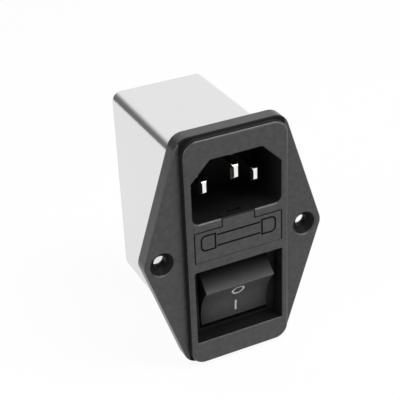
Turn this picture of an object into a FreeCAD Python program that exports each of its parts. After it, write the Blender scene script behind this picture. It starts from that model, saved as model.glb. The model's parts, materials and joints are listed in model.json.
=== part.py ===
import FreeCAD, Part
import math
import os
from FreeCAD import Vector

# Mains inlet module for a panel: a C14 socket, a fuse drawer and a rocker switch in
# one moulded flange, with a filter in a metal can behind it.
#
# Millimetres. X points right, Y points back through the panel and Z points up.
# The origin is the middle of the line between the two panel screws, on the back face
# of the flange, which seats on the panel.

# ---------------------------------------------------------------- driving sizes
# Flange and panel screws
screw_pitch = 40.0
screw_hole_r = 1.7
screw_rim_r = 3.45            # rim of the 90 degree countersink
screw_edge = 5.0              # screw centre to the side corner of the flange
flange_t = 4.0
pad_rise = 2.0                # the middle field stands this much proud of the flange
pad_side_margin = 0.6         # pad past the can, each side
pad_end_margin = 4.65         # pad past the can, top and bottom
flange_side_margin = 0.25     # flange past the pad at its top and bottom corners
flange_end_margin = 0.4
flange_corner_r = 4.0
pad_corner_r = 3.8
pad_edge_r = 0.7
flange_edge_r = 0.4

# Socket recess and its pins
recess_w = 24.5
recess_h = 16.65
recess_depth = 16.5
recess_chamfer = 5.2
recess_floor_r = 1.8
recess_top_r = 0.5
recess_lip = 0.3              # small chamfer round the mouth
recess_back_t = 2.0
pin_pitch = 14.0
pin_row_height = 7.15         # line and neutral pins above the recess floor
earth_rise = 4.2              # earth pin above the line and neutral pins
pin_w = 4.0
pin_t = 2.0
pin_tip_r = 1.0               # rounded corners of the tip, seen from the side
pin_bevel = 0.8               # length of the bevels on the tip's two flat sides
pin_tip_t = 1.0
pin_setback = 4.0             # line and neutral tips behind the pad's face
earth_setback = 0.7
pin_tail_w = 2.4
pin_tail_t = 1.2

# Moulded walls between the compartments, from top to bottom
side_wall = 0.75
top_wall = 0.6
socket_rib = 2.1
drawer_rib = 2.75
bottom_wall = 1.55

# Fuse drawer and its two fuses
drawer_bay_h = 8.85
drawer_clear = 0.15
drawer_front_t = 2.4
drawer_tab_w = 9.0
drawer_tab_depth = 3.0
drawer_notch_w = 4.0          # screwdriver notch in the tab
drawer_notch_depth = 0.9
drawer_skin = 1.0             # floor left under a fuse
drawer_end_t = 1.4            # walls beyond the fuse ends
drawer_lip = 0.5              # drawer front past its tray, each side
drawer_web_t = 1.0            # wall between the two fuses
cradle_depth = 1.2            # how far a fuse sinks into its cradle
fuse_len = 20.0
fuse_cap_r = 2.6
fuse_cap_len = 5.5
fuse_cap_t = 0.3
fuse_glass_t = 0.45
fuse_wire_r = 0.15
fuse_gap = 0.2                # fuse to the walls of its cradle
fuse_seat_gap = 0.05          # fuse to its trough
clip_w = 2.4
clip_t = 0.4
clip_gap = 0.3                # clip to the fuse cap, which leaves with the drawer
clip_half_h = 2.6
clip_bow = 1.1

# Rocker switch
bay_h = 21.5
bay_half_w = 12.35
bay_corner_r = 0.4
bay_lip = 0.2                 # small chamfer round the mouth
bezel_setback = 4.1           # bezel face behind the pad's face
bezel_t = 1.5
bezel_fit = 0.15
rocker_w = 19.3
rocker_ridge = 6.4            # half the distance between the two ridges
rocker_reach = 6.37           # pivot to the plane of the ridges
rocker_face_r = 13.8
rocker_root = 8.5             # half height where the flanks end
rocker_flank = 24.5           # degrees
rocker_back = 2.0
rocker_wall = 1.4
rocker_edge_r = 0.25          # rounding of the two ridges
rocker_tilt = 18.2            # degrees each way from the middle
rocker_pivot_depth = 7.6      # pivot behind the pad's face
rocker_drop = 0.15            # pivot below the bay's middle
rocker_clear = 0.32
trunnion_r = 1.5
trunnion_len = 0.95
trunnion_fit = 0.06
housing_wall = 0.8
housing_floor_t = 2.3
housing_fit = 0.1
pole_x = 5.0
plunger_r = 1.2
plunger_tip_r = 0.9
plunger_reach = 6.7           # pivot to the plunger's tip
plunger_len = 7.5
plunger_fit = 0.1
plunger_boss_t = 0.9
plunger_boss_reach = 3.0      # pivot to the back end of the boss
plunger_tip_gap = 0.3
spring_wire_r = 0.15
spring_turns = 3.5
bridge_t = 0.6
bridge_w = 3.0
bridge_arm = 6.0
bridge_fold = 15.0            # degrees that each arm is bent forward
bridge_swing = 8.0            # degrees each way, opposite to the rocker
bridge_bend_r = 0.9
contact_gap = 0.15
contact_r = 1.2
contact_offset = 5.2          # contact from the fulcrum, along Z
terminal_head_h = 2.8
terminal_t = 0.8

# Filter can and what it holds
can_depth = 40.0
can_wall = 0.4
can_fit = 0.1
can_seat = 0.4                # depth of the groove in the flange that takes the can's edge
can_fold_r = 2.5
can_rear_r = 0.6
trunk_depth = 12.5
board_t = 1.6
board_gap = 3.5               # trunk to board
board_fit = 0.2
tail_proud = 0.8              # tails past the board's rear face
choke_core_r = 8.5
choke_bore_r = 4.8
choke_core_w = 7.0
choke_standoff = 2.4
choke_drop = 5.35             # choke above the switch's pivot line
winding_t = 0.8
winding_fit = 0.05
winding_turns = 9
winding_pitch = 15.0          # degrees
lead_r = 0.4
x_cap_size = (18.0, 12.0, 9.5)
x_cap_standoff = 1.2
x_cap_rise = 3.2              # capacitor above the line and neutral pins
x_cap_lead_pitch = 15.0
y_cap_r = 4.0
y_cap_t = 3.0
y_cap_edge = 0.9              # bevel where the coating thins to the disc's rim
y_cap_wall_gap = 1.0          # capacitor to the can's wall
y_cap_rise = 3.9              # capacitors above the fuses
y_cap_lead_pitch = 5.0
resistor_r = 1.1
resistor_len = 6.4
resistor_drop = 3.9           # resistor below the line and neutral pins
resistor_edge = 0.35
resistor_lead_r = 0.3
resistor_bend_r = 0.8         # middle of the lead at its two bends
resistor_lead_pitch = 10.0
resistor_standoff = 0.2

# Rear terminals
tab_w = 6.3
tab_t = 0.8
tab_len = 8.5
tab_tip = 1.2
tab_hole_r = 0.8
tab_hole_from_tip = 3.4
tab_stem_w = 2.5
tab_shoulder_w = 8.0
tab_shoulder_len = 2.0
tab_pitch = 11.0
tab_rise = 6.4                # line and neutral tabs above the fuses
earth_tab_inset = 4.6         # earth tab above the can's floor
insulator_t = 1.6
insulator_margin = 2.5        # insulator past its window, inside the can
window_w = 16.0
window_h = 11.0
window_fit = 0.05
rivet_r = 1.0
rivet_head_r = 1.8
rivet_head_t = 0.6
rivet_inset = 1.7             # rivet centre from the insulator's end

# ---------------------------------------------------------------- worked out
pad_y = -(flange_t + pad_rise)
drawer_tray_half_w = fuse_len / 2 + fuse_gap + drawer_end_t
drawer_bay_half_w = drawer_tray_half_w + drawer_lip + drawer_clear
recess_trunk_half_w = recess_w / 2 + side_wall
drawer_trunk_half_w = drawer_bay_half_w + side_wall
trunk_half_h = (top_wall + recess_h + socket_rib + drawer_bay_h + drawer_rib + bay_h
                + bottom_wall) / 2
can_half_w = max(recess_trunk_half_w, drawer_trunk_half_w) + can_fit + can_wall
can_half_h = trunk_half_h + can_fit + can_wall
pad_half_w = can_half_w + pad_side_margin
pad_half_h = can_half_h + pad_end_margin
flange_half_h = pad_half_h + flange_end_margin
flange_end_half_w = pad_half_w + flange_side_margin
flange_half_w = screw_pitch / 2 + screw_edge

recess_top = trunk_half_h - top_wall
recess_floor = recess_top - recess_h
recess_back = pad_y + recess_depth
pin_row_z = recess_floor + pin_row_height
earth_pin_z = pin_row_z + earth_rise

drawer_top = recess_floor - socket_rib
drawer_bottom = drawer_top - drawer_bay_h
bay_top = drawer_bottom - drawer_rib
bay_bottom = bay_top - bay_h
pivot_z = (bay_top + bay_bottom) / 2 - rocker_drop
pivot_y = pad_y + rocker_pivot_depth

fuse_z = drawer_bottom + drawer_clear + drawer_skin + fuse_seat_gap + fuse_cap_r
spare_pocket_y = pad_y + drawer_front_t
spare_fuse_y = spare_pocket_y + fuse_gap + fuse_cap_r
active_pocket_y = spare_fuse_y + fuse_cap_r + fuse_gap + drawer_web_t
active_fuse_y = active_pocket_y + fuse_gap + fuse_cap_r
drawer_back = active_fuse_y + fuse_cap_r

bezel_y = pad_y + bezel_setback
bay_floor_y = bezel_y + bezel_t
rocker_root_y = -rocker_reach + (rocker_root - rocker_ridge) / math.tan(math.radians(rocker_flank))
rocker_swing_r = max(math.hypot(rocker_reach, rocker_ridge), math.hypot(rocker_root_y, rocker_root))
housing_half_w = rocker_w / 2 + rocker_clear
housing_half_h = rocker_swing_r + rocker_clear
fulcrum_y = (pivot_y + plunger_reach + plunger_tip_gap
             - (bridge_bend_r - bridge_t) / math.cos(math.radians(bridge_fold)))
terminal_head_y = fulcrum_y + bridge_bend_r + contact_gap
housing_floor_y = terminal_head_y + terminal_t

board_y = trunk_depth + board_gap
board_back = board_y + board_t
tail_end = board_back + tail_proud
can_inner_half_w = can_half_w - can_wall
can_inner_half_h = can_half_h - can_wall
can_rear_inner = can_depth - can_wall
x_cap_z = pin_row_z + x_cap_rise
y_cap_z = fuse_z + y_cap_rise
resistor_z = pin_row_z - resistor_drop
tab_z = fuse_z + tab_rise
earth_tab_z = -can_inner_half_h + earth_tab_inset

EPS = 1e-3                    # reach past a face that a cut has to open


# ---------------------------------------------------------------- helpers
def box(x0, x1, y0, y1, z0, z1):
    return Part.makeBox(x1 - x0, y1 - y0, z1 - z0, Vector(x0, y0, z0))


def rod(start, direction, radius, length):
    return Part.makeCylinder(radius, length, Vector(*start), Vector(*direction))


def rounded_wire(corners, place, closed=True):
    """Wire through corners (u, v, radius), with an arc at each corner that has a radius."""
    count = len(corners)
    starts, mids, ends = [], [], []
    for i, (u, v, radius) in enumerate(corners):
        here = Vector(u, v, 0)
        before = Vector(*corners[i - 1][:2], 0) - here
        after = Vector(*corners[(i + 1) % count][:2], 0) - here
        before.normalize()
        after.normalize()
        half = before.getAngle(after) / 2
        cut = radius / math.tan(half)
        towards = before + after
        towards.normalize()
        starts.append(here + before * cut)
        mids.append(here + towards * (radius / math.sin(half) - radius))
        ends.append(here + after * cut)
    edges = []
    for i in range(count):
        if corners[i][2] > 0:
            edges.append(Part.Arc(place(starts[i]), place(mids[i]), place(ends[i])).toShape())
        following = (i + 1) % count
        if (closed or following) and (starts[following] - ends[i]).Length > EPS:
            edges.append(Part.makeLine(place(ends[i]), place(starts[following])))
    return Part.Wire(edges)


def front_prism(corners, y0, y1):
    """Outline drawn as seen from the front, (x, z, radius), run from y0 to y1."""
    wire = rounded_wire(corners, lambda p: Vector(p.x, y0, p.y))
    return Part.Face(wire).extrude(Vector(0, y1 - y0, 0))


def side_prism(corners, x0, x1):
    """Outline drawn as seen from the side, (y, z, radius), run from x0 to x1."""
    wire = rounded_wire(corners, lambda p: Vector(x0, p.x, p.y))
    return Part.Face(wire).extrude(Vector(x1 - x0, 0, 0))


def rectangle(half_w, z0, z1, radius):
    return [(-half_w, z0, radius), (half_w, z0, radius), (half_w, z1, radius), (-half_w, z1, radius)]


def rims_across_x(shape):
    """Circular rims that lie across the X axis."""
    return [e for e in shape.Edges if e.Closed and e.BoundBox.XLength < EPS]


def edges_at_y(shape, y):
    """Edges that lie wholly in the plane at y."""
    return [e for e in shape.Edges if abs(e.BoundBox.YMin - y) < EPS and abs(e.BoundBox.YMax - y) < EPS]


def fuse_all(shapes):
    return shapes[0].multiFuse(shapes[1:]).removeSplitter()


def mirrored_x(shape):
    return shape.mirror(Vector(0, 0, 0), Vector(1, 0, 0))


def tilted(shape, degrees):
    """Turn a shape made about the rocker's pivot, then put it at the pivot."""
    turned = shape.copy()
    turned.rotate(Vector(0, 0, 0), Vector(1, 0, 0), degrees)
    turned.translate(Vector(0, pivot_y, pivot_z))
    return turned


# ---------------------------------------------------------------- socket pins
def socket_pin(x, z, tip_y):
    """Flat pin with a rounded, bevelled tip, a shoulder in the recess's back and a board tail."""
    back = recess_back + recess_back_t
    blade = side_prism([(tip_y, z - pin_w / 2, pin_tip_r), (back, z - pin_w / 2, 0),
                        (back, z + pin_w / 2, 0), (tip_y, z + pin_w / 2, pin_tip_r)],
                       x - pin_t / 2, x + pin_t / 2)
    plan = [(x - pin_tip_t / 2, tip_y), (x + pin_tip_t / 2, tip_y), (x + pin_t / 2, tip_y + pin_bevel),
            (x + pin_t / 2, back), (x - pin_t / 2, back), (x - pin_t / 2, tip_y + pin_bevel)]
    outline = Part.makePolygon([Vector(px, py, z - pin_w) for px, py in plan + plan[:1]])
    blade = blade.common(Part.Face(outline).extrude(Vector(0, 0, 2 * pin_w)))
    tail = box(x - pin_tail_t / 2, x + pin_tail_t / 2, recess_back, tail_end,
               z - pin_tail_w / 2, z + pin_tail_w / 2)
    return fuse_all([blade, tail])


# ---------------------------------------------------------------- fuse drawer
def fuse_drawer():
    """Tray that slides straight back: flush front with a tab, and two fuse cradles."""
    half_w = drawer_bay_half_w - drawer_clear
    bottom = drawer_bottom + drawer_clear
    top = drawer_top - drawer_clear
    front = box(-half_w, half_w, pad_y, spare_pocket_y, bottom, top)
    tab = box(-drawer_tab_w / 2, drawer_tab_w / 2, pad_y, pad_y + drawer_tab_depth, bottom, recess_floor)
    notch = box(-drawer_notch_w / 2, drawer_notch_w / 2, pad_y + drawer_tab_depth - drawer_notch_depth,
                pad_y + drawer_tab_depth + EPS, top, recess_floor + EPS)
    end_x = fuse_len / 2 + fuse_gap
    tray = box(-drawer_tray_half_w, drawer_tray_half_w, spare_pocket_y, drawer_back, bottom, top)
    cradle_floor = fuse_z - cradle_depth
    spare_pocket = box(-end_x, end_x, spare_pocket_y, active_pocket_y - drawer_web_t, cradle_floor, top + EPS)
    active_pocket = box(-end_x, end_x, active_pocket_y, drawer_back + EPS, cradle_floor, top + EPS)
    trough_r = fuse_cap_r + fuse_seat_gap
    troughs = [rod((-end_x, y, fuse_z), (1, 0, 0), trough_r, 2 * end_x)
               for y in (spare_fuse_y, active_fuse_y)]
    body = fuse_all([front, tab, tray])
    return body.cut(Part.makeCompound([notch, spare_pocket, active_pocket] + troughs))


def fuse_pieces(prefix, y):
    """Cartridge fuse along X: glass tube, two caps and the wire between them."""
    half = fuse_len / 2
    glass_r = fuse_cap_r - fuse_cap_t
    inner_half = half - fuse_cap_t
    glass = rod((-inner_half, y, fuse_z), (1, 0, 0), glass_r, 2 * inner_half)
    bore = rod((-inner_half, y, fuse_z), (1, 0, 0), glass_r - fuse_glass_t, 2 * inner_half)
    cap = rod((half - fuse_cap_len, y, fuse_z), (1, 0, 0), fuse_cap_r, fuse_cap_len)
    cap = cap.cut(rod((half - fuse_cap_len, y, fuse_z), (1, 0, 0), glass_r, fuse_cap_len - fuse_cap_t))
    wire = rod((-inner_half, y, fuse_z), (1, 0, 0), fuse_wire_r, 2 * inner_half)
    return {
        prefix + "_glass": glass.cut(bore),
        prefix + "_cap_right": cap,
        prefix + "_cap_left": mirrored_x(cap),
        prefix + "_wire": wire,
    }


def fuse_clip():
    """Bowed leaf behind one fuse cap, with a tail through the bay's back to the board."""
    mid_x = fuse_len / 2 - fuse_cap_len / 2
    apex = active_fuse_y + fuse_cap_r + clip_gap + clip_t / 2
    top = fuse_z + clip_half_h
    path = [(tail_end, top), (apex + clip_bow, top), (apex, fuse_z + clip_half_h / 3),
            (apex, fuse_z - clip_half_h / 3), (apex + clip_bow, fuse_z - clip_half_h)]
    x0, x1 = mid_x - clip_w / 2, mid_x + clip_w / 2
    strips = []
    for (ya, za), (yb, zb) in zip(path, path[1:]):
        length = math.hypot(yb - ya, zb - za)
        strip = box(x0, x1, 0, length, -clip_t / 2, clip_t / 2)
        strip.rotate(Vector(0, 0, 0), Vector(1, 0, 0), math.degrees(math.atan2(zb - za, yb - ya)))
        strip.translate(Vector(0, ya, za))
        strips.append(strip)
    bends = [rod((x0, y, z), (1, 0, 0), clip_t / 2, clip_w) for y, z in path[1:-1]]
    return fuse_all(strips + bends)


# ---------------------------------------------------------------- rocker switch
def rocker_outline(inset):
    """Sizes of the rocker's side profile about its pivot, shrunk by inset."""
    slope = math.tan(math.radians(rocker_flank))
    face_r = rocker_face_r + inset
    face_y = -rocker_reach - math.sqrt(rocker_face_r ** 2 - rocker_ridge ** 2)
    # the ridge is where the flank's line, z = rise + slope * y, meets the face's arc
    rise = rocker_ridge + rocker_reach * slope - inset * math.hypot(1, slope)
    a = 1 + slope ** 2
    b = 2 * (slope * rise - face_y)
    c = rise ** 2 + face_y ** 2 - face_r ** 2
    ridge_y = (-b + math.sqrt(b * b - 4 * a * c)) / (2 * a)
    ridge = (ridge_y, rise + slope * ridge_y)
    # the root is where the same line meets the arc about the pivot
    skirt_r = math.hypot(rocker_root_y, rocker_root) - inset
    b = 2 * slope * rise
    c = rise ** 2 - skirt_r ** 2
    root_y = (-b + math.sqrt(b * b - 4 * a * c)) / (2 * a)
    root = (root_y, rise + slope * root_y)
    return face_y, face_r, ridge, root, skirt_r


def rocker_prism(inset, half_w):
    face_y, face_r, ridge, root, skirt_r = rocker_outline(inset)
    back_z = math.sqrt(skirt_r ** 2 - rocker_back ** 2)

    def at(y, z):
        return Vector(-half_w, y, z)
    edges = [
        Part.Arc(at(ridge[0], -ridge[1]), at(face_y + face_r, 0), at(ridge[0], ridge[1])).toShape(),
        Part.makeLine(at(ridge[0], ridge[1]), at(root[0], root[1])),
        Part.Arc(at(root[0], root[1]), at(0, skirt_r), at(rocker_back, back_z)).toShape(),
        Part.makeLine(at(rocker_back, back_z), at(rocker_back, -back_z)),
        Part.Arc(at(rocker_back, -back_z), at(0, -skirt_r), at(root[0], -root[1])).toShape(),
        Part.makeLine(at(root[0], -root[1]), at(ridge[0], -ridge[1])),
    ]
    return Part.Face(Part.Wire(edges)).extrude(Vector(2 * half_w, 0, 0))


def rocker():
    """Hollow rocker with two trunnions and a guide boss for each plunger."""
    half_w = rocker_w / 2
    shell = rocker_prism(0, half_w)
    ridge_y = rocker_outline(0)[2][0]
    shell = shell.makeFillet(rocker_edge_r, edges_at_y(shell, ridge_y))
    hollow = rocker_prism(rocker_wall, half_w - rocker_wall)
    back_open = box(-half_w + rocker_wall, half_w - rocker_wall, rocker_back - EPS, plunger_boss_reach + 1,
                    -rocker_root, rocker_root)
    boss_r = plunger_r + plunger_fit + plunger_boss_t
    bosses, bores = [], []
    for x in (-pole_x, pole_x):
        bosses.append(rod((x, spring_seat_y() - rocker_wall / 2, 0), (0, 1, 0), boss_r,
                          plunger_boss_reach - spring_seat_y() + rocker_wall / 2))
        bores.append(rod((x, spring_seat_y(), 0), (0, 1, 0), plunger_r + plunger_fit,
                         plunger_boss_reach - spring_seat_y() + EPS))
    trunnions = [rod((side * (half_w - rocker_wall), 0, 0), (side, 0, 0), trunnion_r,
                     trunnion_len + rocker_wall) for side in (-1, 1)]
    body = shell.cut(hollow.fuse(back_open))
    body = fuse_all([body] + bosses + trunnions).cut(Part.makeCompound(bores))
    return tilted(body, rocker_tilt)


def spring_seat_y():
    """Front end of a plunger's bore, just behind the rocker's face wall."""
    face_y, face_r = rocker_outline(0)[:2]
    return face_y + face_r + rocker_wall


def plunger(x):
    """Round-nosed plunger that slides in the rocker's boss."""
    nose_y = plunger_reach - plunger_tip_r
    back_y = plunger_reach - plunger_len
    body = rod((x, back_y, 0), (0, 1, 0), plunger_r, nose_y - back_y - (plunger_r - plunger_tip_r))
    neck = Part.makeCone(plunger_r, plunger_tip_r, plunger_r - plunger_tip_r,
                         Vector(x, nose_y - (plunger_r - plunger_tip_r), 0), Vector(0, 1, 0))
    nose = Part.makeSphere(plunger_tip_r, Vector(x, nose_y, 0))
    return tilted(fuse_all([body, neck, nose]), rocker_tilt)


def plunger_spring(x):
    """Compression spring between the bore's end and the plunger."""
    back_y = plunger_reach - plunger_len
    length = back_y - spring_seat_y() - 2 * spring_wire_r
    mid_r = plunger_r - 2 * spring_wire_r
    helix = Part.makeHelix(length / spring_turns, length, mid_r)
    corners = [Vector(mid_r + spring_wire_r * math.cos(math.radians(a)), 0,
                      spring_wire_r * math.sin(math.radians(a))) for a in range(0, 361, 90)]
    coil = Part.Wire(helix.Edges).makePipeShell([Part.makePolygon(corners)], True, True)
    coil.rotate(Vector(0, 0, 0), Vector(1, 0, 0), -90)
    coil.translate(Vector(x, spring_seat_y() + spring_wire_r, 0))
    return tilted(coil, rocker_tilt)


def contact_bridge(x):
    """See-saw contact: a folded strip that rocks on its rounded bend."""
    fold = math.radians(bridge_fold)
    inner_r = bridge_bend_r - bridge_t

    def arm_point(offset, along, side):
        y = offset * math.cos(fold) - along * math.sin(fold)
        z = side * (offset * math.sin(fold) + along * math.cos(fold))
        return Vector(x - bridge_w / 2, y, z)
    corners = [arm_point(bridge_bend_r, 0, 1), arm_point(bridge_bend_r, bridge_arm, 1),
               arm_point(inner_r, bridge_arm, 1), Vector(x - bridge_w / 2, inner_r / math.cos(fold), 0),
               arm_point(inner_r, bridge_arm, -1), arm_point(bridge_bend_r, bridge_arm, -1),
               arm_point(bridge_bend_r, 0, -1)]
    edges = [Part.makeLine(a, b) for a, b in zip(corners, corners[1:])]
    bend = Part.Arc(corners[-1], Vector(x - bridge_w / 2, bridge_bend_r, 0), corners[0]).toShape()
    bridge = Part.Face(Part.Wire(edges + [bend])).extrude(Vector(bridge_w, 0, 0))
    bridge.rotate(Vector(0, 0, 0), Vector(1, 0, 0), -bridge_swing)
    bridge.translate(Vector(0, fulcrum_y, pivot_z))
    return bridge


def switch_terminal(x, z, with_contact):
    """Terminal with a flat head on the housing's floor and a tail to the board."""
    half_w = bridge_w / 2
    head = box(x - half_w, x + half_w, terminal_head_y, housing_floor_y,
               z - terminal_head_h / 2, z + terminal_head_h / 2)
    tail = box(x - half_w, x + half_w, housing_floor_y, tail_end, z - terminal_t / 2, z + terminal_t / 2)
    parts = [head, tail]
    if with_contact:
        # back of the closed bridge's arm at the contact's lower edge, the nearest point
        lean = math.radians(bridge_fold - bridge_swing)
        reach = contact_offset - contact_r
        bridge_back = fulcrum_y + bridge_bend_r / math.cos(lean) - reach * math.tan(lean)
        contact_y = bridge_back + contact_gap
        parts.append(rod((x, contact_y, z), (0, 1, 0), contact_r, terminal_head_y - contact_y))
    return fuse_all(parts)


def switch_housing(terminals):
    """Snap-in switch body: bezel in the bay, box behind it, terminals in its floor."""
    hole = rectangle(housing_half_w, pivot_z - housing_half_h, pivot_z + housing_half_h, bay_corner_r)
    outer_w = housing_half_w + housing_wall
    outer_h = housing_half_h + housing_wall
    bezel = front_prism(rectangle(bay_half_w - bezel_fit, bay_bottom + bezel_fit, bay_top - bezel_fit,
                                  bay_corner_r), bezel_y, bay_floor_y)
    body = front_prism(rectangle(outer_w, pivot_z - outer_h, pivot_z + outer_h, bay_corner_r + housing_wall),
                       bay_floor_y, housing_floor_y + housing_floor_t)
    hollow = front_prism(hole, bezel_y - EPS, housing_floor_y)
    sockets = [rod((side * (housing_half_w - EPS), pivot_y, pivot_z), (side, 0, 0), trunnion_r + trunnion_fit,
                   housing_wall + 2 * EPS) for side in (-1, 1)]
    return bezel.fuse(body).cut(Part.makeCompound([hollow] + sockets + terminals))


# ---------------------------------------------------------------- moulded inlet body
def opening(corners, back_y, lip):
    """Cut for a compartment, from the pad's face to back_y, with a chamfer of size lip at its mouth."""
    rim = rounded_wire(corners, lambda p: Vector(p.x, pad_y, p.y))
    wide = rim.makeOffset2D(lip)
    rim.translate(Vector(0, lip, 0))
    return front_prism(corners, pad_y, back_y).fuse(Part.makeLoft([wide, rim], True))


def socket_recess():
    half = recess_w / 2
    corners = [(-half, recess_floor, recess_floor_r), (half, recess_floor, recess_floor_r),
               (half, recess_top - recess_chamfer, recess_top_r),
               (half - recess_chamfer, recess_top, recess_top_r),
               (-half + recess_chamfer, recess_top, recess_top_r),
               (-half, recess_top - recess_chamfer, recess_top_r)]
    return opening(corners, recess_back, recess_lip)


def inlet_body(seated):
    """Flange, pad and trunk in one moulding, with its three compartments.

    seated holds the pins and clips that are moulded or pressed into its back walls.
    """
    hexagon = [(-flange_end_half_w, -flange_half_h, flange_corner_r),
               (flange_end_half_w, -flange_half_h, flange_corner_r), (flange_half_w, 0, flange_corner_r),
               (flange_end_half_w, flange_half_h, flange_corner_r),
               (-flange_end_half_w, flange_half_h, flange_corner_r), (-flange_half_w, 0, flange_corner_r)]
    flange = front_prism(hexagon, -flange_t, 0)
    flange = flange.makeFillet(flange_edge_r, edges_at_y(flange, -flange_t))
    pad = front_prism(rectangle(pad_half_w, -pad_half_h, pad_half_h, pad_corner_r), pad_y, -flange_t)
    pad = pad.makeFillet(pad_edge_r, edges_at_y(pad, pad_y))
    groove = front_prism(rectangle(can_half_w + can_fit, -can_half_h - can_fit, can_half_h + can_fit,
                                   can_fold_r + can_fit), -can_seat, EPS)
    trunk_r = can_fold_r - can_wall - can_fit
    step_z = (recess_floor + drawer_top) / 2     # each compartment has its own side walls
    below = rectangle(drawer_trunk_half_w, -trunk_half_h, step_z + trunk_r, trunk_r)
    above = rectangle(recess_trunk_half_w, step_z - trunk_r, trunk_half_h, trunk_r)
    trunk = front_prism(below, -can_seat, trunk_depth).fuse(front_prism(above, -can_seat, trunk_depth))
    trunk = trunk.removeSplitter()

    cuts = [socket_recess()]
    cuts.append(box(-drawer_bay_half_w, drawer_bay_half_w, pad_y - EPS, recess_back,
                    drawer_bottom, drawer_top))
    tab_half = drawer_tab_w / 2 + drawer_clear
    cuts.append(box(-tab_half, tab_half, pad_y - EPS, pad_y + drawer_tab_depth + drawer_clear,
                    drawer_top - EPS, recess_floor + EPS))
    cuts.append(opening(rectangle(bay_half_w, bay_bottom, bay_top, bay_corner_r), bay_floor_y, bay_lip))
    outer_w = housing_half_w + housing_wall + housing_fit
    outer_h = housing_half_h + housing_wall + housing_fit
    cuts.append(front_prism(rectangle(outer_w, pivot_z - outer_h, pivot_z + outer_h,
                                      bay_corner_r + housing_wall), bay_floor_y - EPS, trunk_depth + EPS))
    sink = screw_rim_r - screw_hole_r
    for side in (-1, 1):
        x = side * screw_pitch / 2
        cuts.append(rod((x, -flange_t - EPS, 0), (0, 1, 0), screw_hole_r, flange_t + 2 * EPS))
        cuts.append(Part.makeCone(screw_rim_r, screw_hole_r, sink, Vector(x, -flange_t, 0), Vector(0, 1, 0)))
    body = fuse_all([flange.cut(groove), pad, trunk])
    for cut in cuts:
        body = body.cut(cut)
    return body.cut(Part.makeCompound(seated))


# ---------------------------------------------------------------- can and rear terminals
def filter_can(openings):
    """Deep-drawn can: five walls with folded long edges, its open edge seated in the flange."""
    outer = front_prism(rectangle(can_half_w, -can_half_h, can_half_h, can_fold_r), -can_seat, can_depth)
    outer = outer.makeFillet(can_rear_r, edges_at_y(outer, can_depth))
    inner = front_prism(rectangle(can_inner_half_w, -can_inner_half_h, can_inner_half_h,
                                  can_fold_r - can_wall), -can_seat - EPS, can_rear_inner)
    return outer.cut(inner).cut(Part.makeCompound(openings))


def rear_tab(x, z, seat_y):
    """Push-on tab of flat sheet: blade, shoulders against seat_y and a stem to the board."""
    half = tab_w / 2
    end = can_depth + tab_len
    corners = [(board_y - tail_proud, -tab_stem_w / 2), (seat_y - tab_shoulder_len, -tab_stem_w / 2),
               (seat_y - tab_shoulder_len, -tab_shoulder_w / 2), (seat_y, -tab_shoulder_w / 2),
               (seat_y, -half), (end - tab_tip, -half), (end, -half + tab_tip)]
    corners += [(y, -v) for y, v in reversed(corners)]
    blade = side_prism([(y, z + v, 0) for y, v in corners], x - tab_t / 2, x + tab_t / 2)
    hole = rod((x - tab_t, end - tab_hole_from_tip, z), (1, 0, 0), tab_hole_r, 2 * tab_t)
    return blade.cut(hole)


def terminal_insulator(tabs):
    """Plate inside the can's rear wall, with a boss that fills the window."""
    seat = can_rear_inner - insulator_t
    plate = front_prism(rectangle(window_w / 2 + insulator_margin, tab_z - window_h / 2 - insulator_margin,
                                  tab_z + window_h / 2 + insulator_margin, 1.0), seat, can_rear_inner)
    boss = front_prism(rectangle(window_w / 2 - window_fit, tab_z - window_h / 2 + window_fit,
                                 tab_z + window_h / 2 - window_fit, 0.5), can_rear_inner - EPS, can_depth)
    return plate.fuse(boss).cut(Part.makeCompound(tabs))


def insulator_rivets():
    """Two rivets through the can's rear wall and the insulator's ends."""
    x = window_w / 2 + insulator_margin - rivet_inset
    seat = can_rear_inner - insulator_t
    rivets = []
    for side in (-1, 1):
        shank = rod((side * x, seat - rivet_head_t, tab_z), (0, 1, 0), rivet_r,
                    insulator_t + can_wall + 2 * rivet_head_t)
        inner = rod((side * x, seat - rivet_head_t, tab_z), (0, 1, 0), rivet_head_r, rivet_head_t)
        outer = rod((side * x, can_depth, tab_z), (0, 1, 0), rivet_head_r, rivet_head_t)
        outer = outer.makeChamfer(rivet_head_t / 2, edges_at_y(outer, can_depth + rivet_head_t))
        rivets.append(fuse_all([shank, inner, outer]))
    return rivets


# ---------------------------------------------------------------- filter
def filter_board(tails):
    corner = can_fold_r - can_wall
    board = front_prism(rectangle(can_inner_half_w - board_fit, -can_inner_half_h + board_fit,
                                  can_inner_half_h - board_fit, corner), board_y, board_back)
    return board.cut(Part.makeCompound(tails))


def choke_centre():
    return Vector(0, board_back + choke_standoff + choke_core_w / 2, pivot_z + choke_drop)


def choke_core():
    centre = choke_centre()
    front = (0, centre.y - choke_core_w / 2, centre.z)
    ring = rod(front, (0, 1, 0), choke_core_r, choke_core_w)
    return ring.cut(rod(front, (0, 1, 0), choke_bore_r, choke_core_w))


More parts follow.
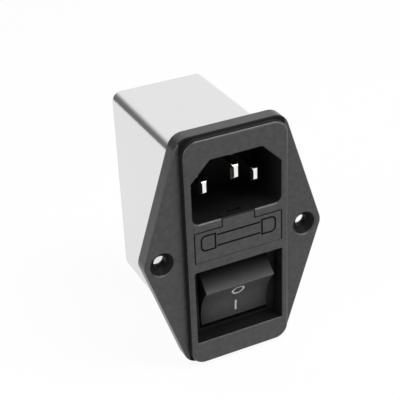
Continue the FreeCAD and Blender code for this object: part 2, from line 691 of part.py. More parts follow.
def choke_winding(middle_degrees):
    """Single-layer winding over one side of the ring, with two legs into the board."""
    centre = choke_centre()
    inner_r = choke_bore_r - winding_fit
    outer_r = choke_core_r + winding_fit
    half_w = choke_core_w / 2 + winding_fit
    wire_w = 2 * (inner_r - winding_t) * math.sin(math.radians(winding_pitch) / 2) * 1.15
    outer = box(inner_r - winding_t, outer_r + winding_t, -half_w - winding_t, half_w + winding_t,
                -wire_w / 2, wire_w / 2)
    turn = outer.cut(box(inner_r, outer_r, -half_w, half_w, -wire_w, wire_w))
    span = (winding_turns - 1) * winding_pitch
    pieces = []
    for i in range(winding_turns):
        angle = middle_degrees - span / 2 + i * winding_pitch
        ring = turn.copy()
        ring.rotate(Vector(0, 0, 0), Vector(0, 1, 0), -angle)
        pieces.append(ring)
        if i in (0, winding_turns - 1):
            x = (outer_r + winding_t / 2) * math.cos(math.radians(angle))
            z = (outer_r + winding_t / 2) * math.sin(math.radians(angle))
            leg_start = board_y - tail_proud - centre.y
            pieces.append(rod((x, leg_start, z), (0, 1, 0), lead_r, -half_w - leg_start))
    winding = fuse_all(pieces)
    winding.translate(centre)
    return winding


def x_capacitor():
    """Boxed film capacitor that stands on two leads."""
    width, depth, height = x_cap_size
    front = board_back + x_cap_standoff
    body = front_prism(rectangle(width / 2, x_cap_z - height / 2, x_cap_z + height / 2, 0.8),
                       front, front + depth)
    lead_z = x_cap_z + height / 2 - 2 * lead_r - 0.4
    leads = [rod((side * x_cap_lead_pitch / 2, board_y - tail_proud, lead_z), (0, 1, 0), lead_r,
                 front - board_y + tail_proud) for side in (-1, 1)]
    return fuse_all([body] + leads)


def y_capacitor():
    """Disc capacitor on edge beside the can's right wall."""
    x1 = can_inner_half_w - y_cap_wall_gap
    centre_y = tail_end + 0.4 + y_cap_r
    disc = rod((x1 - y_cap_t, centre_y, y_cap_z), (1, 0, 0), y_cap_r, y_cap_t)
    disc = disc.makeChamfer(y_cap_edge, rims_across_x(disc))
    leads = []
    for side in (-1, 1):
        z = y_cap_z + side * y_cap_lead_pitch / 2
        leads.append(rod((x1 - y_cap_t / 2, board_y - tail_proud, z), (0, 1, 0), lead_r,
                         centre_y - board_y + tail_proud))
    return fuse_all([disc] + leads)


def bleed_resistor():
    """Axial resistor lying on the board, its leads bent down into it."""
    y = board_back + resistor_standoff + resistor_r
    half = resistor_len / 2
    reach = resistor_lead_pitch / 2
    body = rod((-half, y, resistor_z), (1, 0, 0), resistor_r, resistor_len)
    body = body.makeChamfer(resistor_edge, rims_across_x(body))
    end = board_y - tail_proud
    lead = rounded_wire([(-reach, end, 0), (-reach, y, resistor_bend_r), (reach, y, resistor_bend_r),
                         (reach, end, 0)], lambda p: Vector(p.x, p.y, resistor_z), closed=False)
    section = Part.Wire(Part.makeCircle(resistor_lead_r, Vector(-reach, end, resistor_z), Vector(0, 1, 0)))
    return fuse_all([body, lead.makePipeShell([section], True, True)])


# ---------------------------------------------------------------- assembly
def build():
    nodes = {
        "line_pin": socket_pin(pin_pitch / 2, pin_row_z, pad_y + pin_setback),
        "neutral_pin": socket_pin(-pin_pitch / 2, pin_row_z, pad_y + pin_setback),
        "earth_pin": socket_pin(0, earth_pin_z, pad_y + earth_setback),
        "fuse_clip_right": fuse_clip(),
        "fuse_clip_left": mirrored_x(fuse_clip()),
    }
    nodes["inlet_body"] = inlet_body(list(nodes.values()))
    nodes["fuse_drawer"] = fuse_drawer()
    nodes.update(fuse_pieces("fuse", active_fuse_y))
    nodes.update(fuse_pieces("spare_fuse", spare_fuse_y))

    terminals = {}
    for side, x in (("left", -pole_x), ("right", pole_x)):
        terminals["fulcrum_terminal_" + side] = switch_terminal(x, pivot_z, False)
        terminals["contact_terminal_" + side] = switch_terminal(x, pivot_z + contact_offset, True)
        nodes["contact_bridge_" + side] = contact_bridge(x)
        nodes["plunger_" + side] = plunger(x)
        nodes["plunger_spring_" + side] = plunger_spring(x)
    nodes.update(terminals)
    nodes["switch_housing"] = switch_housing(list(terminals.values()))
    nodes["rocker"] = rocker()

    insulator_seat = can_rear_inner - insulator_t
    line_tab = rear_tab(tab_pitch / 2, tab_z, insulator_seat)
    neutral_tab = mirrored_x(line_tab)
    earth_tab = rear_tab(0, earth_tab_z, can_rear_inner)
    rivets = insulator_rivets()
    nodes["line_tab"] = line_tab
    nodes["neutral_tab"] = neutral_tab
    nodes["earth_tab"] = earth_tab
    nodes["insulator_rivets"] = Part.makeCompound(rivets)
    nodes["terminal_insulator"] = terminal_insulator([line_tab, neutral_tab] + rivets)
    window = front_prism(rectangle(window_w / 2, tab_z - window_h / 2, tab_z + window_h / 2, 0.5),
                         can_rear_inner - EPS, can_depth + EPS)
    nodes["filter_can"] = filter_can([window, earth_tab] + rivets)

    nodes["choke_core"] = choke_core()
    nodes["choke_winding_right"] = choke_winding(0)
    nodes["choke_winding_left"] = choke_winding(180)
    nodes["x_capacitor"] = x_capacitor()
    nodes["y_capacitor_right"] = y_capacitor()
    nodes["y_capacitor_left"] = mirrored_x(nodes["y_capacitor_right"])
    nodes["bleed_resistor"] = bleed_resistor()
    through_board = [name for name in nodes if name.endswith(("_pin", "_tab", "_resistor"))
                     or name.startswith(("fuse_clip", "choke_winding", "x_cap", "y_cap"))]
    nodes["filter_board"] = filter_board([nodes[name] for name in through_board] + list(terminals.values()))
    return nodes


def main():
    os.makedirs("parts", exist_ok=True)
    for name, shape in build().items():
        if not shape.isValid():
            raise ValueError(name + " is not a valid shape")
        shape.exportStep("parts/" + name + ".step")
        print(f"{name:24s} {len(shape.Solids)} solid(s) {shape.Volume:10.2f} mm3")


main()
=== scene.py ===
"""Looks for the C14 inlet module: materials, surface marks, studio and camera.

Metres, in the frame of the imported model: X right, Y back through the panel, Z up.
"""
import json
import math

import bpy
from mathutils import Matrix, Vector
from mathutils.bvhtree import BVHTree


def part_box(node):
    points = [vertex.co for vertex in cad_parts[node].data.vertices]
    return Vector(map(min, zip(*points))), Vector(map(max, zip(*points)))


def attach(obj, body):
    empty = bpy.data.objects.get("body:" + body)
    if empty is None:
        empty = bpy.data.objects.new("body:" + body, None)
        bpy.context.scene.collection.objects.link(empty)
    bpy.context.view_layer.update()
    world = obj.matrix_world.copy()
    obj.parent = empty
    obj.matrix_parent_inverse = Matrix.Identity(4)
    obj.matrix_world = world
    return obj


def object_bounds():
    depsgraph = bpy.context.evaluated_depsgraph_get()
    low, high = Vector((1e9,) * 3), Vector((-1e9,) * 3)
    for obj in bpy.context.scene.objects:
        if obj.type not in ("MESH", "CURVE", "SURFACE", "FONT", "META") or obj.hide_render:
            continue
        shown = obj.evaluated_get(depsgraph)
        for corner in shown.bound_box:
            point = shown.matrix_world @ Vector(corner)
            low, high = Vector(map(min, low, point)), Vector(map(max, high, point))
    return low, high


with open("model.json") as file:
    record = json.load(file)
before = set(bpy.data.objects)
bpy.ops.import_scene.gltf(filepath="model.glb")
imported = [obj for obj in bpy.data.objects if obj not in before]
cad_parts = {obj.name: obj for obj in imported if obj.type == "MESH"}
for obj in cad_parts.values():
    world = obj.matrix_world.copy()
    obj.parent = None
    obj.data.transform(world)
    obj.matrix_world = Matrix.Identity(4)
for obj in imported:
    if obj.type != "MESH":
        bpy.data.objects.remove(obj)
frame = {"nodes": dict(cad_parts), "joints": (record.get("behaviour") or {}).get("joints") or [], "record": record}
cad_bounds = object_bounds()
nodes = frame["nodes"]
MM = 0.001

# ---------------------------------------------------------------- camera
CAMERA_AT = Vector((-0.10147, -0.20441, 0.14226))
CAMERA_AZIMUTH = math.radians(-24.715)
CAMERA_ELEVATION = math.radians(29.911)
CAMERA_ROLL = math.radians(-2.57)
CAMERA_LENS = 95.5              # mm, on a sensor of the width below
CAMERA_SENSOR = 36.0


def make_camera():
    data = bpy.data.cameras.new("camera")
    data.lens = CAMERA_LENS
    data.sensor_width = CAMERA_SENSOR
    data.clip_start = 0.01
    data.clip_end = 10.0
    camera = bpy.data.objects.new("camera", data)
    bpy.context.scene.collection.objects.link(camera)
    flat = math.cos(CAMERA_ELEVATION)
    back = Vector((math.sin(CAMERA_AZIMUTH) * flat,
                   -math.cos(CAMERA_AZIMUTH) * flat,
                   math.sin(CAMERA_ELEVATION)))
    level_right = (-back).cross(Vector((0, 0, 1))).normalized()
    level_up = back.cross(level_right)
    right = level_right * math.cos(CAMERA_ROLL) + level_up * math.sin(CAMERA_ROLL)
    up = level_up * math.cos(CAMERA_ROLL) - level_right * math.sin(CAMERA_ROLL)
    turn = Matrix((right, up, back)).transposed()
    camera.matrix_world = Matrix.Translation(CAMERA_AT) @ turn.to_4x4()
    bpy.context.scene.camera = camera


# ---------------------------------------------------------------- shader nodes
NOISE_LOW = 0.3                 # noise lies mostly between these two
NOISE_HIGH = 0.7


def new_material(name):
    """An empty material with a Principled shader: (material, node tree, shader)."""
    material = bpy.data.materials.new(name)
    material.use_nodes = True
    tree = material.node_tree
    return material, tree, tree.nodes["Principled BSDF"]


def feed(tree, source, socket):
    """Link another node's output to a socket, or give the socket a plain value."""
    if isinstance(source, bpy.types.NodeSocket):
        tree.links.new(source, socket)
    else:
        socket.default_value = source


def calculate(tree, operation, first, second):
    """Result of one operation on two outputs or numbers."""
    node = tree.nodes.new("ShaderNodeMath")
    node.operation = operation
    feed(tree, first, node.inputs[0])
    feed(tree, second, node.inputs[1])
    return node.outputs[0]


def rescale(tree, value, start, end, low, high, easing="LINEAR"):
    """Number that runs from low to high as value goes from start to end."""
    node = tree.nodes.new("ShaderNodeMapRange")
    node.interpolation_type = easing
    node.inputs["From Min"].default_value = start
    node.inputs["From Max"].default_value = end
    node.inputs["To Min"].default_value = low
    node.inputs["To Max"].default_value = high
    tree.links.new(value, node.inputs["Value"])
    return node.outputs["Result"]


def mixed(tree, share, first, second):
    """Colour that runs from first to second as share goes from 0 to 1."""
    node = tree.nodes.new("ShaderNodeMixRGB")
    feed(tree, share, node.inputs["Fac"])
    feed(tree, first, node.inputs["Color1"])
    feed(tree, second, node.inputs["Color2"])
    return node.outputs["Color"]


def noise(tree, scale, detail=3.0, stretch=(1, 1, 1)):
    """Noise in object space; scale is in features per metre."""
    place = tree.nodes.new("ShaderNodeTexCoord")
    mapping = tree.nodes.new("ShaderNodeMapping")
    mapping.inputs["Scale"].default_value = stretch
    texture = tree.nodes.new("ShaderNodeTexNoise")
    texture.inputs["Scale"].default_value = scale
    texture.inputs["Detail"].default_value = detail
    tree.links.new(place.outputs["Object"], mapping.inputs["Vector"])
    tree.links.new(mapping.outputs["Vector"], texture.inputs["Vector"])
    return texture.outputs["Fac"]


def ramp(tree, fac, low, high, low_at=NOISE_LOW, high_at=NOISE_HIGH):
    """Colour that runs from low to high as fac goes from low_at to high_at."""
    node = tree.nodes.new("ShaderNodeValToRGB")
    node.color_ramp.elements[0].position = low_at
    node.color_ramp.elements[1].position = high_at
    node.color_ramp.elements[0].color = (*low, 1)
    node.color_ramp.elements[1].color = (*high, 1)
    tree.links.new(fac, node.inputs["Fac"])
    return node.outputs["Color"]


def spread(tree, texture, middle, reach):
    """Number that wanders with a noise texture, within reach of middle."""
    return rescale(tree, texture, NOISE_LOW, NOISE_HIGH, middle - reach, middle + reach)


def bump(tree, shader, height, depth, edge=0.0, samples=4):
    """Bump of a given depth in metres, over edges softened to the radius edge. Returns its node."""
    node = tree.nodes.new("ShaderNodeBump")
    node.inputs["Distance"].default_value = depth
    tree.links.new(height, node.inputs["Height"])
    if edge:
        soft = tree.nodes.new("ShaderNodeBevel")
        soft.samples = samples
        soft.inputs["Radius"].default_value = edge
        tree.links.new(soft.outputs["Normal"], node.inputs["Normal"])
    tree.links.new(node.outputs["Normal"], shader.inputs["Normal"])
    return node


def scaled(colour, share):
    return tuple(min(1.0, c * share) for c in colour)


def clouded(tree, texture, colour, vary):
    """A colour that varies by the share vary with a noise texture."""
    return ramp(tree, texture, scaled(colour, 1 - vary), scaled(colour, 1 + vary))


def inside_box(tree, low, high):
    """1 for points of the surface inside a box given in object space, 0 outside it."""
    place = tree.nodes.new("ShaderNodeTexCoord")
    split = tree.nodes.new("ShaderNodeSeparateXYZ")
    tree.links.new(place.outputs["Object"], split.inputs[0])
    inside = 1.0
    for operation, corner in (("GREATER_THAN", low), ("LESS_THAN", high)):
        for along, limit in zip(split.outputs, corner):
            test = calculate(tree, operation, along, limit)
            inside = calculate(tree, "MULTIPLY", inside, test)
    return inside


# ---------------------------------------------------------------- materials
COOL = 1.02                     # blue of the blacks against their red and green
SOFT_EDGE = 0.12 * MM           # radius to which the edges of plastic are softened
PLASTIC_UNEVEN = 0.06           # how far the roughness of plastic wanders either way

BLACK = 0.027                   # moulded faces: colour, roughness and specular level
FACE_ROUGH = 0.34
FACE_SHEEN = 0.54
FACE_DEPTH = 1.2e-5             # spark-eroded grain
FACE_VARY = 0.30                # how much the colour varies, in clouds of so many per metre
FACE_CLOUDY = 900.0
DRAWER_TONE = 1.05              # the drawer's colour against the flange's

# Painted shade: the compartments, the pad's steps and the countersinks take this darker black and low specular
# level, and lose their grain
RECESS_SHADE_BLACK = (0.012, 0.012, 0.0123)
RECESS_SHADE_SHEEN = 0.04
SMOOTH_SHADE_FROM = 0.35 * MM         # the smooth walls with painted shade start this far behind the foremost face
PAD_HALF_W = 14.15 * MM         # field in front of the can whose steps and grooves are smooth and darkened as painted shade
PAD_HALF_H = 32.7 * MM
PAD_REACH = 2.1 * MM            # how far back that smooth finish and painted shade go
PAD_RISE = 2.0 * MM             # the flange lies this far behind the pad
SCREW_X = 20.0 * MM             # screw holes in the flange, whose countersinks are smooth and darkened as painted shade
SINK_R = 3.6 * MM
SINK_DEPTH = 3.2 * MM           # ends short of the flange's back, which is grained as its front is

HOUSING_ROUGH = 0.42
# low specular level of the switch housing, which darkens it as painted shade in its bay
HOUSING_SHEEN = 0.10

# the rocker's black, lightened as painted light so that its concave face reads as lit; lighter than the pad's
# black
ROCKER_LIT_BLACK = 0.078
ROCKER_ROUGH = 0.32
ROCKER_SHEEN = 0.35
SHADE_REACH = 14.0 * MM         # painted shade: the rocker's colour and specular level darken where its bay closes round it within this
SHADE_FROM = 0.66               # it is darkest at this open share and plain at the next
SHADE_TO = 1.0
SHADE_CURVE = 2.4
SHADE_TONE = 0.2                # share of colour and specular level left where the painted shade is darkest
SHADE_SHEEN = 0.1

PLATE = (0.86, 0.85, 0.82)
PLATE_ROUGH = 0.10
PLATE_DEPTH = 2e-7
PLATE_UNEVEN = 0.02

CAN = (0.75, 0.75, 0.755)
CAN_ROUGH = 0.27
CAN_DEPTH = 1e-8
CAN_UNEVEN = 0.003
CAN_VARY = 0.001
CAN_EDGE = 0.9 * MM             # soft radius of the can's folds


def open_share(tree, reach):
    """1 where a surface lies open, falling to 0 where walls close round it within reach."""
    node = tree.nodes.new("ShaderNodeAmbientOcclusion")
    node.samples = 8
    node.inputs["Distance"].default_value = reach
    eased = rescale(tree, node.outputs["AO"], SHADE_FROM, SHADE_TO, 0.0, 1.0, "SMOOTHSTEP")
    return calculate(tree, "POWER", eased, SHADE_CURVE)


def plastic(name, colour, roughness, grain=5000.0, depth=4e-6, vary=0.12, cloudy=90.0,
            smooth_shaded=(), sheen=0.5, crevice_shade_reach=0.0):
    """Moulded plastic: spark-eroded grain, slight cloudiness and softened edges.

    The boxes listed, each (low, high), hold walls that are smooth and are darkened in colour and specular level as
    painted shade.
    The reach for crevices is how far walls that close round a surface darken its colour and specular level as
    painted shade, or 0.
    """
    material, tree, shader = new_material(name)
    base = clouded(tree, noise(tree, cloudy, 2.0), colour, vary)
    fine = noise(tree, grain, 2.0)
    relief = bump(tree, shader, fine, depth, edge=SOFT_EDGE)
    level = shader.inputs["Specular IOR Level"]
    level.default_value = sheen     # stays as the socket's own value where a link is added
    # painted shade: inside the boxes colour and specular level go darker, and the grain is left out
    if smooth_shaded:
        smooth_shade = 0.0
        for low, high in smooth_shaded:
            smooth_shade = calculate(tree, "MAXIMUM", smooth_shade, inside_box(tree, low, high))
        base = mixed(tree, smooth_shade, base, (*RECESS_SHADE_BLACK, 1))
        tree.links.new(rescale(tree, smooth_shade, 0.0, 1.0, sheen, RECESS_SHADE_SHEEN), level)
        tree.links.new(calculate(tree, "SUBTRACT", 1.0, smooth_shade), relief.inputs["Strength"])
    # painted shade: colour and specular level darken where walls close round the surface
    if crevice_shade_reach:
        bare = open_share(tree, crevice_shade_reach)
        base = mixed(tree, bare, (*scaled(colour, SHADE_TONE), 1), base)
        tree.links.new(rescale(tree, bare, 0.0, 1.0, sheen * SHADE_SHEEN, sheen), level)
    tree.links.new(base, shader.inputs["Base Color"])
    tree.links.new(spread(tree, fine, roughness, PLASTIC_UNEVEN), shader.inputs["Roughness"])
    return material


def metal(name, colour, roughness, grain=1500.0, stretch=(1, 1, 1), depth=1e-6, edge=0.1 * MM,
          vary=0.04, uneven=0.05, samples=4):
    """Plated or bare metal with faint drawn or rolled marks along one axis."""
    material, tree, shader = new_material(name)
    shader.inputs["Metallic"].default_value = 1.0
    marks = noise(tree, grain, 4.0, stretch)
    tree.links.new(clouded(tree, marks, colour, vary), shader.inputs["Base Color"])
    tree.links.new(spread(tree, marks, roughness, uneven), shader.inputs["Roughness"])
    bump(tree, shader, marks, depth, edge, samples)
    return material


def glass(name):
    material, tree, shader = new_material(name)
    shader.inputs["Base Color"].default_value = (0.93, 0.96, 0.95, 1)
    shader.inputs["Transmission Weight"].default_value = 1.0
    shader.inputs["IOR"].default_value = 1.5
    haze = noise(tree, 700.0, 2.0)
    tree.links.new(spread(tree, haze, 0.045, 0.025), shader.inputs["Roughness"])
    return material


def smooth_shaded_walls():
    """Boxes round the walls of the compartments, the pad's steps and the countersinks, which are smooth and
    darkened as painted shade.
    """
    wall_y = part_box("inlet_body")[0].y + SMOOTH_SHADE_FROM
    can_low, can_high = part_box("filter_can")
    walls = [
        (Vector((can_low.x, wall_y, can_low.z)), can_high),
        (Vector((-PAD_HALF_W, wall_y, -PAD_HALF_H)),
         Vector((PAD_HALF_W, wall_y + PAD_REACH, PAD_HALF_H))),
    ]
    for side in (-1, 1):
        screw = Vector((side * SCREW_X, wall_y + PAD_RISE, 0))
        reach = Vector((SINK_R, 0, SINK_R))
        walls.append((screw - reach, screw + reach + Vector((0, SINK_DEPTH, 0))))
    return walls


def make_materials():
    """One material for each material slot of the record."""
    black = (BLACK, BLACK, BLACK * COOL)
    face = {"depth": FACE_DEPTH, "vary": FACE_VARY, "cloudy": FACE_CLOUDY,
            "smooth_shaded": smooth_shaded_walls(), "sheen": FACE_SHEEN}
    return {
        "moulded_black": plastic("moulded_black", black, FACE_ROUGH, **face),
        "drawer_black": plastic("drawer_black", scaled(black, DRAWER_TONE), FACE_ROUGH, **face),
        # the switch housing, deep in its bay, takes the darker black of the painted shade
        "switch_black": plastic("switch_black", RECESS_SHADE_BLACK, HOUSING_ROUGH, sheen=HOUSING_SHEEN),
        "rocker_black": plastic("rocker_black", (ROCKER_LIT_BLACK, ROCKER_LIT_BLACK, ROCKER_LIT_BLACK * COOL), ROCKER_ROUGH,
                                grain=7000.0, depth=2e-6, sheen=ROCKER_SHEEN, crevice_shade_reach=SHADE_REACH),
        "nickel_plate": metal("nickel_plate", PLATE, PLATE_ROUGH, stretch=(1, 0.15, 1),
                              depth=PLATE_DEPTH, uneven=PLATE_UNEVEN),
        "fuse_glass": glass("fuse_glass"),
        "fuse_wire": metal("fuse_wire", (0.70, 0.70, 0.70), 0.3),
        "plunger_nylon": plastic("plunger_nylon", (0.75, 0.74, 0.69), 0.4),
        "spring_steel": metal("spring_steel", (0.60, 0.60, 0.61), 0.3),
        "contact_copper": metal("contact_copper", (0.80, 0.48, 0.32), 0.3),
        "can_steel": metal("can_steel", CAN, CAN_ROUGH, grain=1600.0, stretch=(1, 0.06, 1),
                           depth=CAN_DEPTH, edge=CAN_EDGE, vary=CAN_VARY, uneven=CAN_UNEVEN,
                           samples=16),
        "insulator": plastic("insulator", (0.055, 0.042, 0.032), 0.5),
        "tinned_brass": metal("tinned_brass", (0.83, 0.82, 0.79), 0.28, stretch=(1, 0.1, 1)),
        "board": plastic("board", (0.03, 0.14, 0.06), 0.35),
        "ferrite": plastic("ferrite", (0.05, 0.05, 0.052), 0.6),
        "enamelled_copper": metal("enamelled_copper", (0.62, 0.24, 0.10), 0.25),
        "capacitor_box": plastic("capacitor_box", (0.72, 0.52, 0.10), 0.3),
        "capacitor_disc": plastic("capacitor_disc", (0.05, 0.16, 0.45), 0.3),
        "resistor": plastic("resistor", (0.60, 0.48, 0.30), 0.4),
    }


def dress_nodes(materials):
    """Give every CAD node the material of its slot in the record."""
    for part in frame["record"]["subparts"]:
        data = nodes[part["node"]].data
        data.materials.clear()
        data.materials.append(materials[part["material_slot"]])


# ---------------------------------------------------------------- marks on the faces
LIFT = 0.012 * MM               # marks stand this far off the face they lie on

# dark floor of the pictogram's engraved lines, and the painted shadow in the drawer's seam
ENGRAVED_AND_SHADOW = (0.004, 0.004, 0.004)
ENGRAVED_ROUGH = 0.7
ENGRAVED_SHEEN = 0.05
PRINT = (0.50, 0.50, 0.49)
PRINT_ROUGH = 0.55

LINE_W = 0.48 * MM              # stroke of the pictogram
FUSE_UP = 5.15 * MM             # its middle above the drawer's foot
CAP_IN = 0.268                  # its caps' inner and outer ends, as shares of the drawer's width
CAP_OUT = 0.425
CAP_R = 1.15 * MM
CAP_HALF = 2.08 * MM
TUBE_HALF = 1.55 * MM
TUBE_GAP = 0.45 * MM            # from the tube's lines to the caps

SEAM_SHADOW_W = 0.18 * MM              # width of the painted shadow inside the drawer's edge

MARK_W = 0.52 * MM              # stroke of the rocker's marks
MARK_X = 0.42 * MM
O_UP = 2.55 * MM                # middle of each mark above the middle of the rocker's face
I_UP = -3.35 * MM
O_R = 1.55 * MM
I_HALF = 1.5 * MM
I_STEPS = 12


def ink(name, colour, roughness, sheen=0.5):
    """Flat ink, the dark floor of an engraved line, or a painted shadow."""
    material, tree, shader = new_material(name)
    cloud = noise(tree, 2500.0, 2.0)
    tree.links.new(ramp(tree, cloud, scaled(colour, 0.85), scaled(colour, 1.1)),
                   shader.inputs["Base Color"])
    shader.inputs["Roughness"].default_value = roughness
    shader.inputs["Specular IOR Level"].default_value = sheen
    return material


def ribbon(name, paths, width, material, lay, lean=0):
    """Flat ribbons along paths of 2-D points; lay puts a 2-D point on the surface.

    lean is 0 for ribbons centred on their paths and 1 for ribbons wholly to the left of them.
    """
    verts, faces = [], []
    for points, closed in paths:
        count = len(points)
        start = len(verts)
        for i, p in enumerate(points):
            came = p - points[i - 1] if closed or i else points[1] - p
            goes = points[(i + 1) % count] - p if closed or i < count - 1 else came
            came, goes = came.normalized(), goes.normalized()
            along = (came + goes).normalized()
            across = Vector((-along.y, along.x)) * width / 2 / max(0.4, came.dot(along))
            verts.append(lay(p + across * (lean - 1)))
            verts.append(lay(p + across * (lean + 1)))
        for i in range(count if closed else count - 1):
            a = start + 2 * i
            b = start + 2 * ((i + 1) % count)
            faces.append((a, b, b + 1, a + 1))
    mesh = bpy.data.meshes.new(name)
    mesh.from_pydata(verts, [], faces)
    mesh.materials.append(material)
    piece = bpy.data.objects.new(name, mesh)
    bpy.context.scene.collection.objects.link(piece)
    return piece


def arc(centre, radius, start, end, steps=10):
    """Points on an arc, with angles in degrees."""
    points = []
    for i in range(steps + 1):
        angle = math.radians(start + (end - start) * i / steps)
        points.append(Vector((centre[0] + radius * math.cos(angle),
                              centre[1] + radius * math.sin(angle))))
    return points


def drawer_pictogram(material):
    """Outline of a cartridge fuse engraved on the drawer's front."""
    low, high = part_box("fuse_drawer")
    bay_w = high.x - low.x
    cap_in, cap_out = CAP_IN * bay_w, CAP_OUT * bay_w
    tube_end = cap_in - TUBE_GAP
    z = low.z + FUSE_UP
    paths = []
    for side in (-1, 1):
        x_in = side * cap_in
        arc_x = side * cap_out - side * CAP_R
        top = arc((arc_x, z + CAP_HALF - CAP_R), CAP_R, 90, 90 - side * 90)
        bottom = arc((arc_x, z - CAP_HALF + CAP_R), CAP_R, 90 - side * 90, 90 - side * 180)
        ends = Vector((x_in, z + CAP_HALF)), Vector((x_in, z - CAP_HALF))
        paths.append(([ends[0], *top, *bottom, ends[1]], True))
    for side in (-1, 1):
        line_z = z + side * TUBE_HALF
        paths.append(([Vector((-tube_end, line_z)), Vector((tube_end, line_z))], False))
    piece = ribbon("drawer_pictogram", paths, LINE_W, material,
                   lambda p: Vector((p.x, low.y - LIFT, p.y)))
    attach(piece, "fuse_drawer")


def front_outline(name):
    """Corners (x, z) of a CAD node's front face in order, anticlockwise as seen from the front."""
    mesh = nodes[name].data
    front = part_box(name)[0].y + 0.001 * MM
    edges = set()
    for face in mesh.polygons:
        corners = [mesh.vertices[i].co for i in face.vertices]
        if all(c.y < front for c in corners):
            keys = [(round(c.x, 7), round(c.z, 7)) for c in corners]
            edges.update(zip(keys, keys[1:] + keys[:1]))
    follows = {a: b for a, b in edges if (b, a) not in edges}
    start = min(follows)
    outline = [start]
    while follows[outline[-1]] != start:
        outline.append(follows[outline[-1]])
    return [Vector(p) for p in outline]


def drawer_seam_shadow(material):
    """Painted shadow in the rounded edge of the drawer's front, at its ends and top."""
    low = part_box("fuse_drawer")[0]
    corners = front_outline("fuse_drawer")
    foot_right = corners.index(max(corners, key=lambda p: p.x - p.y))
    path = corners[foot_right:] + corners[:foot_right]
    piece = ribbon("drawer_seam_shadow", [(path, False)], SEAM_SHADOW_W, material,
                   lambda p: Vector((p.x, low.y - LIFT, p.y)), lean=1)
    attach(piece, "fuse_drawer")


def rocker_marks(material):
    """Printed O and I on the rocker's concave face, laid on it by ray."""
    hinge = next(j for j in frame["joints"] if j["name"] == "rocker_hinge")
    pivot = Vector(hinge["pos_m"])
    tilt = math.radians(-hinge["range_deg"][0] / 2)
    turn = Matrix.Rotation(tilt, 3, "X")
    mesh = nodes["rocker"].data
    tree = BVHTree.FromPolygons([v.co for v in mesh.vertices],
                                [p.vertices[:] for p in mesh.polygons])
    forward = turn @ Vector((0, -1, 0))
    far = 20 * MM

    def lay(p):
        start = pivot + turn @ Vector((p.x, -far, p.y))
        hit = tree.ray_cast(start, -forward, far)[0]
        return hit + forward * LIFT

    ring = arc((MARK_X, O_UP), O_R, 0, 360, 48)[:-1]
    bar = [Vector((MARK_X, I_UP - I_HALF + 2 * I_HALF * i / I_STEPS)) for i in range(I_STEPS + 1)]
    piece = ribbon("rocker_marks", [(ring, True), (bar, False)], MARK_W, material, lay)
    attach(piece, "rocker")


# ---------------------------------------------------------------- studio
WORLD_FILL = 0.35               # strength of the world's light on surfaces

FLOOR_HALF = 0.6
FLOOR_GAP = 0.5 * MM            # the floor lies this far below the part
FLOOR_GLOW = 0.93               # share that is plain white; the rest keeps the part's shadow

CARD_BESIDE = 0.20              # card's middle out from the can's left side and behind its back
CARD_BEHIND = 0.30
CARD_ALONG = Vector((0.83, 0.56, 0))
CARD_HALF = 0.22                # half its width
CARD_TALL = 0.34
CARD_LOW = 0.14                 # tones of its foot and its head
CARD_HIGH = 0.9
CARD_BASE = 0.05                # from this far above its foot up to its head it turns paler,
CARD_FROM = 0.6                 # but it stays dark for this share of the way

LAMP_AIM = (0, 0.01, 0)
# Name, place, diameter and watts. A face square to them renders about as written.
LAMPS = (
    ("key", (0.30, -0.25, 0.80), 0.60, 5.2),
    ("front", (0.75, -0.60, 0.25), 0.60, 3.0),
    ("side", (-0.75, -0.10, 0.35), 0.50, 2.5),
)


def seen_directly(tree):
    """1 for camera, glossy and transmission rays, 0 for the light that surfaces gather."""
    path = tree.nodes.new("ShaderNodeLightPath")
    first = calculate(tree, "MAXIMUM", path.outputs["Is Camera Ray"], path.outputs["Is Glossy Ray"])
    return calculate(tree, "MAXIMUM", first, path.outputs["Is Transmission Ray"])


def stage_face(name, corners):
    """A flat four-cornered piece for the stage: (object, its mesh)."""
    mesh = bpy.data.meshes.new(name)
    mesh.from_pydata(corners, [], [(0, 1, 2, 3)])
    piece = bpy.data.objects.new(name, mesh)
    bpy.context.scene.collection.objects.link(piece)
    return piece, mesh


def make_world():
    world = bpy.data.worlds.new("studio")
    bpy.context.scene.world = world
    world.use_nodes = True
    tree = world.node_tree
    tree.nodes.clear()
    out = tree.nodes.new("ShaderNodeOutputWorld")
    mix = tree.nodes.new("ShaderNodeMixShader")
    tree.links.new(seen_directly(tree), mix.inputs["Fac"])
    for socket, strength in ((1, WORLD_FILL), (2, 1.0)):
        white = tree.nodes.new("ShaderNodeBackground")
        white.inputs["Color"].default_value = (1, 1, 1, 1)
        white.inputs["Strength"].default_value = strength
        tree.links.new(white.outputs[0], mix.inputs[socket])
    tree.links.new(mix.outputs[0], out.inputs["Surface"])


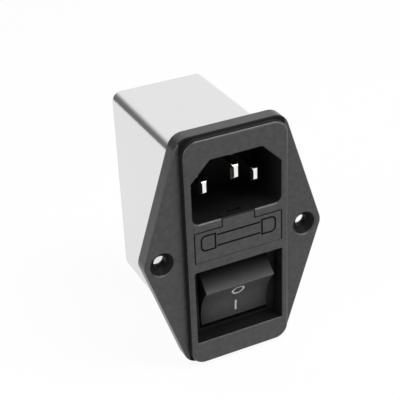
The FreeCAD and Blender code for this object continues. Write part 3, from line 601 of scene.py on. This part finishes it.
def make_floor():
    """Plain white floor that keeps a faint shadow."""
    z = cad_bounds[0].z - FLOOR_GAP
    half = FLOOR_HALF
    floor, mesh = stage_face("floor", [(-half, -half, z), (half, -half, z),
                                       (half, half, z), (-half, half, z)])
    material, tree, shader = new_material("floor")
    shader.inputs["Base Color"].default_value = (0.9, 0.9, 0.9, 1)
    shader.inputs["Roughness"].default_value = 0.9
    glow = tree.nodes.new("ShaderNodeEmission")
    glow.inputs["Color"].default_value = (1, 1, 1, 1)
    glow.inputs["Strength"].default_value = 1.0
    share = calculate(tree, "MULTIPLY", seen_directly(tree), FLOOR_GLOW)
    mix = tree.nodes.new("ShaderNodeMixShader")
    tree.links.new(share, mix.inputs["Fac"])
    tree.links.new(shader.outputs[0], mix.inputs[1])
    tree.links.new(glow.outputs[0], mix.inputs[2])
    tree.links.new(mix.outputs[0], tree.nodes["Material Output"].inputs["Surface"])
    mesh.materials.append(material)


def make_card():
    """Dark card behind the can's left side, seen only in glossy reflections."""
    low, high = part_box("filter_can")
    middle = Vector((low.x - CARD_BESIDE, high.y + CARD_BEHIND, 0))
    along = CARD_ALONG * CARD_HALF
    foot = Vector((0, 0, cad_bounds[0].z))
    head = foot + Vector((0, 0, CARD_TALL))
    card, mesh = stage_face("card", [middle - along + foot, middle + along + foot,
                                     middle + along + head, middle - along + head])
    material, tree, _ = new_material("card")
    place = tree.nodes.new("ShaderNodeTexCoord")
    split = tree.nodes.new("ShaderNodeSeparateXYZ")
    tree.links.new(place.outputs["Object"], split.inputs[0])
    rise = rescale(tree, split.outputs["Z"], foot.z + CARD_BASE, head.z, 0.0, 1.0)
    tone = ramp(tree, rise, (CARD_LOW,) * 3, (CARD_HIGH,) * 3, CARD_FROM, 1.0)
    glow = tree.nodes.new("ShaderNodeEmission")
    tree.links.new(tone, glow.inputs["Color"])
    tree.links.new(glow.outputs[0], tree.nodes["Material Output"].inputs["Surface"])
    mesh.materials.append(material)
    card.visible_camera = False
    card.visible_diffuse = False
    card.visible_shadow = False
    card.visible_transmission = False


def make_lamps():
    for name, place, size, power in LAMPS:
        data = bpy.data.lights.new(name, "AREA")
        data.shape = "DISK"
        data.size = size
        data.energy = power
        lamp = bpy.data.objects.new(name, data)
        lamp.location = place
        towards = Vector(LAMP_AIM) - Vector(place)
        lamp.rotation_euler = towards.to_track_quat("-Z", "Y").to_euler()
        bpy.context.scene.collection.objects.link(lamp)


dress_nodes(make_materials())
engraved_and_shadow = ink("engraved_line_and_shadow", ENGRAVED_AND_SHADOW, ENGRAVED_ROUGH, sheen=ENGRAVED_SHEEN)
drawer_pictogram(engraved_and_shadow)
drawer_seam_shadow(engraved_and_shadow)
rocker_marks(ink("white_print", PRINT, PRINT_ROUGH))
make_camera()
make_world()
make_floor()
make_card()
make_lamps()
bpy.context.scene.view_settings.view_transform = "Standard"
